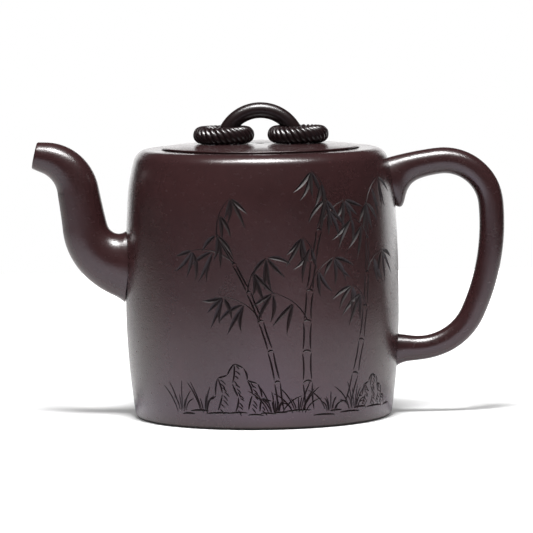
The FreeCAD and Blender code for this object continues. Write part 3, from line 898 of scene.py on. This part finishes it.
@dataclass
class Spout(SubAssembly):
    """Hollow spout: flared at the root, tapered to the lip."""

    root: Point = (-45.65, 51.5)
    root_rise: float = 8.0
    root_run: float = 1.4
    lower_bend: float = 14.0
    riser_lean: float = 9.55
    riser: float = 13.2
    upper_bend: float = 13.4
    tip_rise: float = 12.6
    tip_run: float = 4.3
    half: float = 6.8
    root_flare: float = 5.4
    side_flare: float = 1.9
    flare_length: float = 9.8
    tip_taper: float = 2.33
    taper_start: float = 30.0
    root_wall: float = 2.6
    tip_wall: float = 1.2
    lip: float = 0.5
    # How far the flare's upper side stays below its lower side at the wall, and how soon that ends.
    root_drop: float = 1.3
    drop_length: float = 3.0
    # How far the root is sunk into the pot's wall.
    sunk: float = 1.9
    rows: int = 64
    sides: int = 56

    def spine(self) -> Spine:
        """Middle line of the spout, from inside the wall to the lip.

        Returns:
            The line.
        """
        root = math.pi - math.radians(self.root_rise)
        riser = math.pi / 2 + math.radians(self.riser_lean)
        tip = math.pi - math.radians(self.tip_rise)
        start = (self.root[0] - self.sunk * math.cos(root), self.root[1] - self.sunk * math.sin(root))
        runs = [
            (self.sunk + self.root_run, 0.0),
            elbow(self.lower_bend, riser - root),
            (self.riser, 0.0),
            elbow(self.upper_bend, tip - riser),
            (self.tip_run, 0.0),
        ]
        return Spine(start, root, runs)

    def ring(self, along: float, end: float, inset: float = 0.0) -> Ring:
        """Oval of the spout.

        Args:
            along: Distance from the sunk end of the middle line.
            end: Length of the middle line.
            inset: How far the oval is set in from the outside.

        Returns:
            The oval.
        """
        distance = along - self.sunk
        flare = math.exp(-distance / self.flare_length)
        taper = max(distance - self.taper_start, 0) / (end - self.sunk - self.taper_start)
        slim = self.half - self.tip_taper * taper**2 - inset
        low = self.root_drop * math.exp(-max(distance, 0) / self.drop_length) / 2
        return Ring(along, slim + flare * self.side_flare, slim + flare * self.root_flare - low, -low)

    def build(self) -> None:
        """Model and dress the spout: outside, lip and bore in one skin."""
        spine = self.spine()
        end, lip = spine.length, self.lip
        outside = [self.ring((end - lip) * row / self.rows, end) for row in range(self.rows + 1)]
        turns = [math.pi / 2 * step / 4 for step in range(1, 5)]
        lips = []
        for turn in turns:
            inset = lip * (1 - math.cos(turn))
            lips.append(self.ring(end - lip * (1 - math.sin(turn)), end, inset))
        for turn in reversed(turns[:-1]):
            inset = self.tip_wall - lip * (1 - math.cos(turn))
            lips.append(self.ring(end - lip * (1 - math.sin(turn)), end, inset))
        bore = []
        for row in range(self.rows // 2 + 1):
            along = (end - lip) + (self.sunk / 2 - end + lip) * row / (self.rows // 2)
            share = max(along - self.sunk, 0) / (end - self.sunk)
            bore.append(self.ring(along, end, self.root_wall + (self.tip_wall - self.root_wall) * share))
        spout = roll("spout_tube", outside + lips + bore, self.sides)
        take(spout)
        bpy.ops.object.mode_set(mode="EDIT")
        bpy.ops.mesh.select_all(action="DESELECT")
        bpy.ops.mesh.select_non_manifold()
        bpy.ops.mesh.bridge_edge_loops()
        spine.bend(spout)
        weld(spout)
        apply_modifier(spout, "SUBSURF", levels=1, render_levels=1)
        self.keep(spout, Handling.BURNISHED, "spout", crease=40)


@dataclass
class Handle(SubAssembly):
    """Solid ear handle: a tapering coil whose roots flare where they meet the wall."""

    root: Point = (44.6, 81.8)
    rise: float = 14.8
    # Radius and turn in degrees of each arc: top, corner, back, bottom.
    arcs: tuple[Point, ...] = ((108.8, 7.8), (15.8, 92.6), (73.6, 29.1), (19.95, 73.7))
    bottom_run: float = 4.3
    top_half: float = 4.47
    low_half: float = 3.8
    flatness: float = 0.95
    upper_flare: float = 8.6
    upper_length: float = 2.7
    lower_flare: float = 3.9
    lower_length: float = 3.45
    side_flare: float = 1.0
    # How far each root is sunk into the pot's wall; the upper one slants.
    upper_sunk: float = 3.4
    lower_sunk: float = 1.8
    # Length over which the upper root's lower end is rounded, and the share by which it draws in.
    root_ease: float = 0.7
    root_tuck: float = 0.25
    # Rows of the coil, and the length at each root over which they are set closer.
    rows: int = 70
    root_rows: int = 24
    root_length: float = 12.0
    sides: int = 48

    def spine(self) -> Spine:
        """Middle line of the handle, from the upper root to the lower one.

        Returns:
            The line, with both ends inside the wall.
        """
        heading = math.radians(self.rise)
        back = self.upper_sunk
        start = (self.root[0] - back * math.cos(heading), self.root[1] - back * math.sin(heading))
        bends = [elbow(radius, -math.radians(turn)) for radius, turn in self.arcs]
        return Spine(start, heading, [(back, 0.0), *bends, (self.bottom_run + self.lower_sunk, 0.0)])

    def ring(self, along: float, end: float) -> Ring:
        """Oval of the handle.

        Args:
            along: Distance from the upper sunk end.
            end: Length of the middle line.

        Returns:
            The oval.
        """
        length = end - self.upper_sunk - self.lower_sunk
        distance = min(max(along - self.upper_sunk, 0), length)
        upper = self.upper_root(along - self.upper_sunk)
        lower = math.exp((distance - length) / self.lower_length)
        coil = self.top_half + (self.low_half - self.top_half) * distance / length
        tall = coil + (upper * self.upper_flare + lower * self.lower_flare) / 2
        wide = coil * self.flatness + (upper + lower) * self.side_flare
        lift = (lower * self.lower_flare - upper * self.upper_flare) / 2
        return Ring(along, wide, tall, lift)

    def upper_root(self, distance: float) -> float:
        """Share of the upper root's flare that is left at a distance from the wall.

        Args:
            distance: How far out of the wall, below 0 inside it.

        Returns:
            The share, near 1 at the wall; the flare's lower end is rounded off towards the wall.
        """
        eased = math.log1p(math.exp(distance / self.root_ease)) * self.root_ease
        tucked = max(-self.root_ease - distance, 0) / (self.upper_sunk - self.root_ease)
        return math.exp(-eased / self.upper_length) - self.root_tuck * tucked**2

    def build(self) -> None:
        """Model and dress the handle."""
        spine = self.spine()
        end = spine.length
        near = [self.root_length * row / self.root_rows for row in range(self.root_rows)]
        middle = end - 2 * self.root_length
        far = [self.root_length + middle * row / self.rows for row in range(self.rows + 1)]
        places = near + far + [end - place for place in reversed(near)]
        handle = roll("ear_handle", [self.ring(place, end) for place in places], self.sides)
        edit_all(handle)
        bpy.ops.mesh.fill_holes(sides=0)
        spine.bend(handle)
        weld(handle)
        apply_modifier(handle, "SUBSURF", levels=1, render_levels=1)
        self.keep(handle, Handling.BURNISHED, "handle", crease=40)


# Lid and knob


@dataclass
class Lid(SubAssembly):
    """Inset lid, flat in the middle and arched down to its edge, with its collar and its bridge."""

    body: str = "lid"
    seat: float = 86.1
    rim: float = 90.2
    crown: float = 0.9
    flat: float = 20.0
    radius: float = 32.7
    lip: float = 0.35
    undercut: float = 0.6
    edge_round: float = 0.3
    vent: float = 1.2
    collar: Point = (24.4, 27.2)
    collar_depth: float = 9.0
    collar_round: float = 0.8
    bridge_radius: float = 12.75
    bridge_tube: float = 2.65
    bridge_sink: float = 1.65

    @property
    def top(self) -> float:
        """Height of the lid's flat middle."""
        return self.rim + self.crown

    def build(self) -> None:
        """Model and dress the lid's pieces."""
        self.build_plate()
        self.build_collar()
        self.build_bridge()

    def build_plate(self) -> None:
        """Turn the lid's plate: a thin lip over an undercut edge, and a vent in the middle."""
        waist, lip = self.radius - self.undercut, self.rim - self.lip
        run = self.radius - self.flat
        sweep = 2 * math.atan(self.crown / run)
        bow = run / math.sin(sweep)
        slope = arc((self.flat, self.top - bow), bow, math.pi / 2 - sweep, math.pi / 2, 16)
        corners = [
            (self.vent, self.seat, 0.2),
            (waist, self.seat, 0.2),
            (waist, lip - self.undercut, 0.1),
            (self.radius, lip, 0.04),
            (self.radius, self.rim, self.edge_round),
            *((radius, height, 0) for radius, height in slope[1:]),
            (self.vent, self.top, 0.2),
        ]
        plate = throw("lid_disc", soften(corners))
        self.keep(plate, Handling.BURNISHED, "lid_plate")

    def build_collar(self) -> None:
        """Turn the collar that enters the mouth."""
        (inner, outer), low = self.collar, self.seat - self.collar_depth
        corners = [(inner, self.seat, 0), (inner, low, self.collar_round), (outer, low, self.collar_round)]
        collar = throw("lid_collar", soften([*corners, (outer, self.seat, 0)]))
        self.keep(collar, Handling.RAW, "lid_flange")

    def build_bridge(self) -> None:
        """Bend the half-round bridge and cut it off flat where it stands on the lid."""
        clear_selection()
        middle = (0, 0, self.top - self.bridge_sink)
        bpy.ops.mesh.primitive_torus_add(
            location=middle,
            rotation=(math.pi / 2, 0, 0),
            major_radius=self.bridge_radius,
            minor_radius=self.bridge_tube,
            major_segments=160,
            minor_segments=44,
        )
        bpy.ops.object.transform_apply(location=True, rotation=True, scale=True)
        bridge = new_piece("knob_arch")
        bpy.ops.mesh.bisect(plane_co=(0, 0, self.top), plane_no=(0, 0, 1), clear_inner=True, use_fill=True)
        weld(bridge)
        self.keep(bridge, Handling.POLISHED, "knob_bridge", crease=40)


@dataclass
class RopeRing(SubAssembly):
    """Ring with a rope's twist, lying loose on the lid round one foot of the bridge."""

    name: str = "rope_ring_left"
    node: str = "left_rope_ring"
    across: float = -12.2
    height: float = 94.1
    radius: float = 7.35
    tube: float = 2.9
    # Strands across the rope, ridges round the ring, and how deep the grooves between them are.
    strands: int = 5
    ridges: int = 29
    groove: float = 0.44
    points: int = 18
    turns_per_ridge: int = 5

    def build(self) -> None:
        """Model and dress the ring: a scalloped bar, twisted, then bent round and joined."""
        clear_selection()
        bpy.ops.mesh.primitive_circle_add(
            vertices=self.strands * self.points, radius=self.tube, location=(0, 0, 0)
        )
        ring = new_piece(self.name)
        self.scallop(ring)
        length = math.tau * self.radius
        steps = self.ridges * self.turns_per_ridge
        twist = math.tau * self.ridges / self.strands
        apply_modifier(
            ring,
            "SCREW",
            axis="Z",
            angle=twist,
            screw_offset=length,
            steps=steps,
            render_steps=steps,
            use_merge_vertices=False,
        )
        edit_all(ring)
        middle = (0, 0, 0)
        bpy.ops.transform.translate(value=(0, 0, -length / 2))
        bpy.ops.transform.rotate(value=math.pi / 2, orient_axis="Y", center_override=middle)
        bpy.ops.object.mode_set(mode="OBJECT")
        apply_modifier(ring, "SIMPLE_DEFORM", deform_method="BEND", deform_axis="Z", angle=math.tau)
        edit_all(ring)
        bpy.ops.transform.translate(value=(self.across, -self.radius, self.height))
        weld(ring)
        self.keep(ring, Handling.POLISHED, self.node, crease=60)

    def scallop(self, ring: bpy.types.Object) -> None:
        """Press the grooves between the strands into the bar's section."""
        for place in range(self.points):
            depth = self.groove * (1 - math.sin(math.pi * place / self.points))
            bpy.ops.mesh.select_all(action="DESELECT")
            bpy.ops.object.mode_set(mode="OBJECT")
            for vertex in ring.data.vertices:
                vertex.select = vertex.index % self.points == place
            bpy.ops.object.mode_set(mode="EDIT")
            share = 1 - depth / self.tube
            bpy.ops.transform.resize(value=(share, share, 1), center_override=(0, 0, 0))
        bpy.ops.object.mode_set(mode="OBJECT")


# Studio


@dataclass
class Softbox:
    """Area lamp aimed at the pot."""

    name: str
    bearing: float
    elevation: float
    distance: float
    size: Point
    power: float
    gloss_only: bool = False
    target: tuple[float, float, float] = (0, 0, 0.05)

    def hang(self) -> None:
        """Add the lamp; its bearing is from the viewer's side towards the viewer's right."""
        lamp = bpy.data.lights.new(self.name, "AREA")
        lamp.shape = "RECTANGLE"
        lamp.size, lamp.size_y = self.size
        lamp.energy = self.power
        holder = bpy.data.objects.new(self.name, lamp)
        holder.visible_diffuse = not self.gloss_only
        bpy.context.collection.objects.link(holder)
        turn, rise = math.radians(self.bearing), math.radians(self.elevation)
        out = Vector((math.sin(turn) * math.cos(rise), -math.cos(turn) * math.cos(rise), math.sin(rise)))
        holder.location = Vector(self.target) + out * self.distance
        holder.rotation_euler = (-out).to_track_quat("-Z", "Y").to_euler()


@dataclass
class Card:
    """White card on edge, seen only in the pot's gloss: its two ends on the floor, and its height."""

    start: Point
    end: Point
    height: float
    brightness: float = 1.0

    def stand(self) -> None:
        """Add the card."""
        clear_selection()
        bpy.ops.mesh.primitive_plane_add(size=1, location=(0, 0, 0))
        card = new_piece("white_card")
        run = Vector(self.end) - Vector(self.start)
        bpy.ops.object.mode_set(mode="OBJECT")
        stand = Matrix.Rotation(math.atan2(run.y, run.x), 4, "Z") @ Matrix.Rotation(math.pi / 2, 4, "X")
        middle = (Vector(self.start) + Vector(self.end)) / 2
        place = Matrix.Translation((*middle, self.height / 2)) @ stand
        card.data.transform(place @ Matrix.Diagonal((run.length, self.height, 1, 1)))
        wires = Wiring("lit_card")
        glow = wires.add("Emission", Color=(1, 1, 1, 1), Strength=self.brightness)
        wires.feed(wires.tree.nodes["Material Output"].inputs["Surface"], glow.outputs[0])
        card.data.materials.append(wires.material)
        card.visible_camera = False
        card.visible_diffuse = False
        card.visible_shadow = False


@dataclass
class Studio:
    """White paper floor, soft lamps, white cards and the camera."""

    paper_low: Point = (-0.55, -0.65)
    paper_high: Point = (0.32, 0.55)
    # Tone of the paper near the pot and far before it, and the distances between which it falls: a painted fall-off of
    # light, the paper darker away from the pot.
    paper_tone: Point = (0.85, 0.35)
    tone_reach: Point = (0.15, 0.55)
    # Glow of the paper before the camera: at the pot, and from half a metre away on.
    paper_glow: Point = (0.1, 1.0)
    room_light: float = 0.39
    room_gloss: float = 0.03
    # Violet glow that the paper gives only to glossy rays, a painted reflection in the pot's gloss, fading with the
    # distance before the pot.
    paper_gleam: Colour = (0.5, 0.4, 0.72)
    gleam_far: float = 0.25
    gleam_reach: float = 0.12
    gleam_narrow: float = 3.0
    # Between these distances from the pot's axis the painted gleam sets in, leaving the reflection dark at the foot,
    # and beside the pot it ends.
    gleam_start: Point = (0.043, 0.058)
    gleam_back: Point = (-0.04, 0.03)
    # How far the painted gleam keeps to low angles, as a satin paper's sheen does.
    gleam_low: float = 0.9
    camera_place: tuple[float, float, float] = (0.0015, -1.4, 0.1706)
    camera_pitch: float = -4.93
    camera_roll: float = -0.73
    lens: float = 283.7
    lamps: tuple[Softbox, ...] = (
        Softbox("top_box", 0, 73, 0.85, (0.22, 0.24), 12.0),
        Softbox("top_strip", 0, 73, 0.85, (0.80, 0.16), 13.0, gloss_only=True),
    )
    cards: tuple[Card, ...] = (
        Card((-0.45, 0.80), (0.36, 0.80), 0.30, 2.1),
        Card((0.36, 0.80), (0.36, 0.24), 0.125, 2.2),
    )

    def build(self) -> None:
        """Set up the whole studio."""
        bpy.context.scene.view_settings.view_transform = "Standard"
        self.lay_paper()
        self.light_room()
        for lamp in self.lamps:
            lamp.hang()
        for card in self.cards:
            card.stand()
        self.place_camera()

    def lay_paper(self) -> None:
        """Lay the sheet of paper that the pot stands on."""
        clear_selection()
        bpy.ops.mesh.primitive_plane_add(size=1, location=(0, 0, 0))
        sheet = new_piece("paper_floor")
        low, high = Vector(self.paper_low), Vector(self.paper_high)
        bpy.ops.transform.resize(value=(*(high - low), 1), center_override=(0, 0, 0))
        bpy.ops.transform.translate(value=(*((low + high) / 2), 0))
        bpy.ops.mesh.subdivide(number_cuts=3)
        bpy.ops.object.mode_set(mode="OBJECT")
        wires = Wiring("white_paper")
        wires.tree.nodes.remove(wires.shader)
        place = wires.add("TexCoord").outputs["Object"]
        distance = wires.measure(place)
        rising = wires.span(distance, (0.12, 0.5), self.paper_glow)
        path = wires.add("LightPath")
        seen = wires.reckon("MULTIPLY", rising, path.outputs["Is Camera Ray"])
        # The gleam: a violet glow that only glossy rays see, a painted reflection of the paper in the pot.
        aside = wires.add("Mapping", Vector=place, Scale=(self.gleam_narrow, 1, 1)).outputs["Vector"]
        spread = wires.measure(aside)
        fading = wires.reckon("ADD", wires.reckon("DIVIDE", self.gleam_reach, spread), self.gleam_far)
        started = wires.span(distance, self.gleam_start, (0.0, 1.0))
        depth = wires.add("SeparateXYZ", Vector=place).outputs["Y"]
        before = wires.span(depth, self.gleam_back, (1.0, 0.0))
        shine = path.outputs["Is Glossy Ray"]
        low = wires.add("LayerWeight", Blend=self.gleam_low).outputs["Facing"]
        for share in (fading, started, before, low):
            shine = wires.reckon("MULTIPLY", shine, share)
        # The paper's tone falls away before the pot: a painted fall-off of the light.
        near, far = self.paper_tone
        away = wires.span(depth, self.gleam_back, (far, near))
        tone = wires.span(distance, self.tone_reach, (near, away))
        matte = wires.add("BsdfDiffuse", Color=tone)
        glow = wires.add("Emission", Color=(1, 1, 1, 1), Strength=seen)
        gleam = wires.add("Emission", Color=(*self.paper_gleam, 1), Strength=shine)
        shade = matte.outputs[0]
        for light in (glow, gleam):
            both = wires.tree.nodes.new("ShaderNodeAddShader")
            wires.feed(both.inputs[0], shade)
            wires.feed(both.inputs[1], light.outputs[0])
            shade = both.outputs[0]
        wires.feed(wires.tree.nodes["Material Output"].inputs["Surface"], shade)
        sheet.data.materials.append(wires.material)

    def light_room(self) -> None:
        """Light the room softly, keep it dim in the pot's gloss, and show white behind the pot."""
        world = bpy.data.worlds.new("studio")
        world.use_nodes = True
        bpy.context.scene.world = world
        nodes, links = world.node_tree.nodes, world.node_tree.links
        nodes.clear()
        path = nodes.new("ShaderNodeLightPath")
        shades = []
        for strength in (self.room_light, self.room_gloss, 1.0):
            shade = nodes.new("ShaderNodeBackground")
            shade.inputs["Color"].default_value = (1, 1, 1, 1)
            shade.inputs["Strength"].default_value = strength
            shades.append(shade)
        out = nodes.new("ShaderNodeOutputWorld")
        mirrored = nodes.new("ShaderNodeMixShader")
        links.new(path.outputs["Is Glossy Ray"], mirrored.inputs[0])
        links.new(shades[0].outputs[0], mirrored.inputs[1])
        links.new(shades[1].outputs[0], mirrored.inputs[2])
        seen = nodes.new("ShaderNodeMixShader")
        links.new(path.outputs["Is Camera Ray"], seen.inputs[0])
        links.new(mirrored.outputs[0], seen.inputs[1])
        links.new(shades[2].outputs[0], seen.inputs[2])
        links.new(seen.outputs[0], out.inputs["Surface"])

    def place_camera(self) -> None:
        """Stand the camera where the photograph was taken from."""
        lens = bpy.data.cameras.new("camera")
        lens.lens = self.lens
        lens.clip_end = 20
        camera = bpy.data.objects.new("camera", lens)
        bpy.context.collection.objects.link(camera)
        tilt = Matrix.Rotation(math.radians(90 + self.camera_pitch), 4, "X")
        turn = Matrix.Rotation(math.radians(self.camera_roll), 4, "Z")
        camera.matrix_world = Matrix.Translation(self.camera_place) @ tilt @ turn
        bpy.context.scene.camera = camera


def dress_nodes(shelf: ClayShelf, names: Iterable[str]) -> None:
    """Give the frame's own nodes that stay in view a clay finish."""
    for name in names:
        shelf.dress(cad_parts[name], Handling.RAW)
        LOG.info("%s: dressed as it is", name)


def main() -> None:
    """Build the pot's sub-assemblies in order, then the studio round them."""
    logging.basicConfig(level=logging.INFO, format="%(message)s")
    shelf = ClayShelf()
    PotBody(shelf).build()
    Spout(shelf).build()
    Handle(shelf).build()
    Lid(shelf).build()
    RopeRing(shelf, "left_ring").build()
    RopeRing(shelf, "right_ring", "rope_ring_right", "right_rope_ring", 12.6).build()
    dress_nodes(shelf, ["spout_strainer"])
    Studio().build()


if __name__ == "__main__":
    main()
